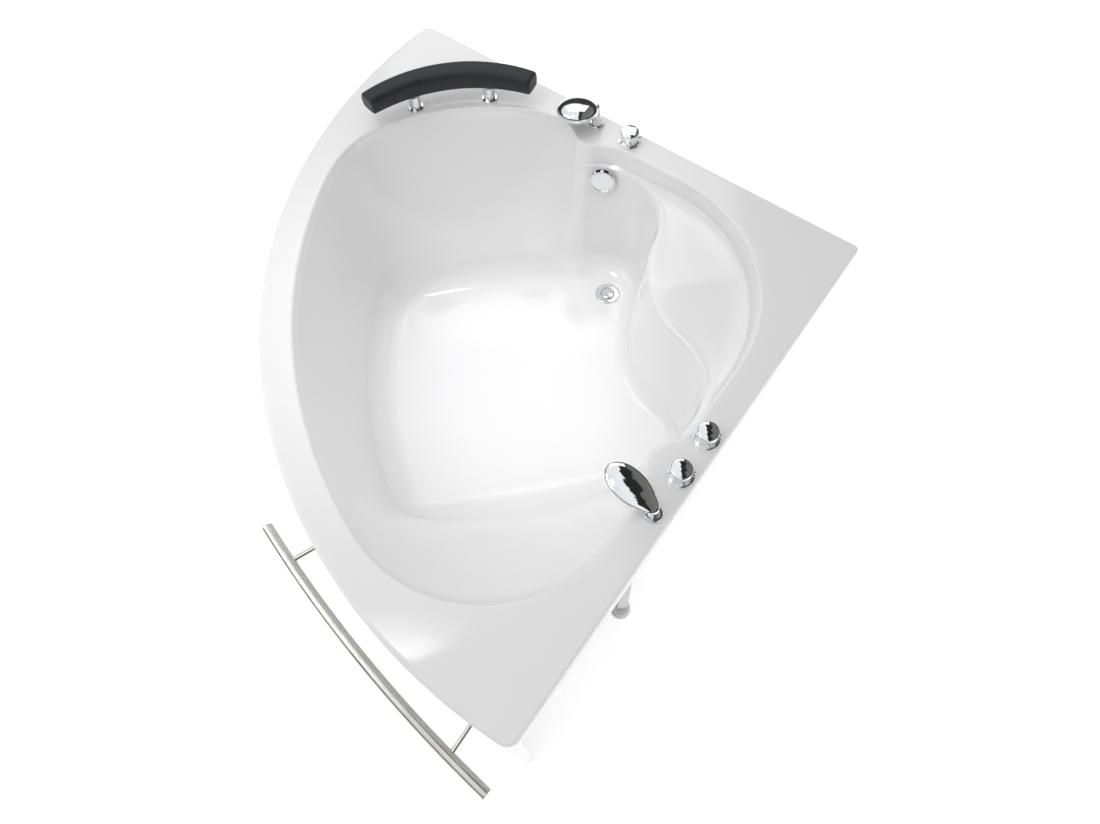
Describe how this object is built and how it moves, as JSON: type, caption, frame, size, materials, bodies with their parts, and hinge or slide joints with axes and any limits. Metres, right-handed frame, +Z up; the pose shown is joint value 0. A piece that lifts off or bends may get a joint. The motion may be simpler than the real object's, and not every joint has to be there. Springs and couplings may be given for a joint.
{
  "type": "corner bathtub",
  "caption": "Quarter-round corner bathtub with a moulded seat, deck valves, spout, hand shower, headrest, outside grab rail and bowed apron on a levelling frame.",
  "frame": {"origin": "on the floor in the corner of the room, where the two wall sides of the tub meet", "axes": "+Z up, +X along the back wall (spout and valve side), -Y along the left wall (hand shower and headrest side)"},
  "size_m": [1.4953, 1.4068, 0.682],
  "materials": {
    "acrylic": "gloss",
    "apron_acrylic": "gloss",
    "board": "matte",
    "frame_steel": "satin",
    "zinc": "satin",
    "foot_plastic": "matte",
    "chrome": "polished",
    "brass": "satin",
    "grey_plastic": "matte",
    "white_plastic": "matte",
    "seal_rubber": "matte",
    "pillow_foam": "matte",
    "spray_face": "matte",
    "rail_steel": "satin"
  },
  "bodies": {
    "tub_body": {"apron_brackets": "zinc", "apron_screws": "zinc", "base_board": "board", "cold_valve_body": "brass", "deck_nuts": "brass", "deck_washers": "seal_rubber", "diverter_body": "brass", "foot_nuts": "zinc", "foot_pads": "foot_plastic", "foot_studs": "zinc", "frame_back_rail": "frame_steel", "frame_cross_tubes": "frame_steel", "frame_front_rail": "frame_steel", "frame_spine_tubes": "frame_steel", "frame_uprights": "frame_steel", "front_apron": "apron_acrylic", "hot_valve_body": "brass", "leg_inserts": "zinc", "mixed_pipe": "chrome", "overflow_body": "grey_plastic", "overflow_collar": "chrome", "overflow_pipe": "grey_plastic", "overflow_seal": "seal_rubber", "pillow_base_rings": "chrome", "pillow_cushion": "pillow_foam", "pillow_nuts": "zinc", "pillow_plates": "zinc", "pillow_posts": "chrome", "pipe_clips": "white_plastic", "plug_cable": "seal_rubber", "rail_end_caps": "rail_steel", "rail_flanges": "rail_steel", "rail_nuts": "zinc", "rail_posts": "rail_steel", "rail_tube": "rail_steel", "rim_pads": "seal_rubber", "shower_pipe": "chrome", "shower_socket": "chrome", "spout_base_ring": "chrome", "spout_body": "chrome", "spout_pipe": "chrome", "tub_shell": "acrylic", "valve_base_rings": "chrome", "waste_body": "grey_plastic", "waste_flange": "chrome", "waste_seal": "seal_rubber", "waste_tail": "grey_plastic", "waste_trap": "grey_plastic"},
    "hot_knob_body": {"hot_knob": "chrome", "hot_spindle": "brass"},
    "cold_knob_body": {"cold_knob": "chrome", "cold_spindle": "brass"},
    "diverter_knob_body": {"diverter_knob": "chrome", "diverter_spindle": "brass"},
    "overflow_knob_body": {"overflow_knob": "chrome", "overflow_axle": "zinc"},
    "plug_body": {"drain_plug": "chrome"},
    "hand_shower_body": {"shower_head": "chrome", "shower_face": "spray_face", "shower_spigot": "chrome"}
  },
  "joints": [
    {"name": "hot_turn", "type": "hinge", "parent": "tub_body", "child": "hot_knob_body", "pos_m": [0.764, -0.039, 0.6], "axis": [0, 0, 1], "range_deg": [0, 90]},
    {"name": "cold_turn", "type": "hinge", "parent": "tub_body", "child": "cold_knob_body", "pos_m": [0.658, -0.039, 0.6], "axis": [0, 0, 1], "range_deg": [-90, 0]},
    {"name": "diverter_turn", "type": "hinge", "parent": "tub_body", "child": "diverter_knob_body", "pos_m": [0.039, -0.658, 0.6], "axis": [0, 0, 1], "range_deg": [0, 90]},
    {"name": "overflow_turn", "type": "hinge", "parent": "tub_body", "child": "overflow_knob_body", "pos_m": [0.11313, -0.69, 0.483], "axis": [0.8912, 0.4236, 0.1622], "range_deg": [0, 90]},
    {"name": "plug_lift", "type": "slide", "parent": "tub_body", "child": "plug_body", "axis": [0, 0, 1], "range_m": [0, 0.01]},
    {"name": "shower_lift", "type": "slide", "parent": "tub_body", "child": "hand_shower_body", "axis": [0, 0, 1], "range_m": [0, 0.12]}
  ],
  "couplings": [
    {"joint": "plug_lift", "follows": "overflow_turn", "m_per_rad": 0.0063662}
  ]
}
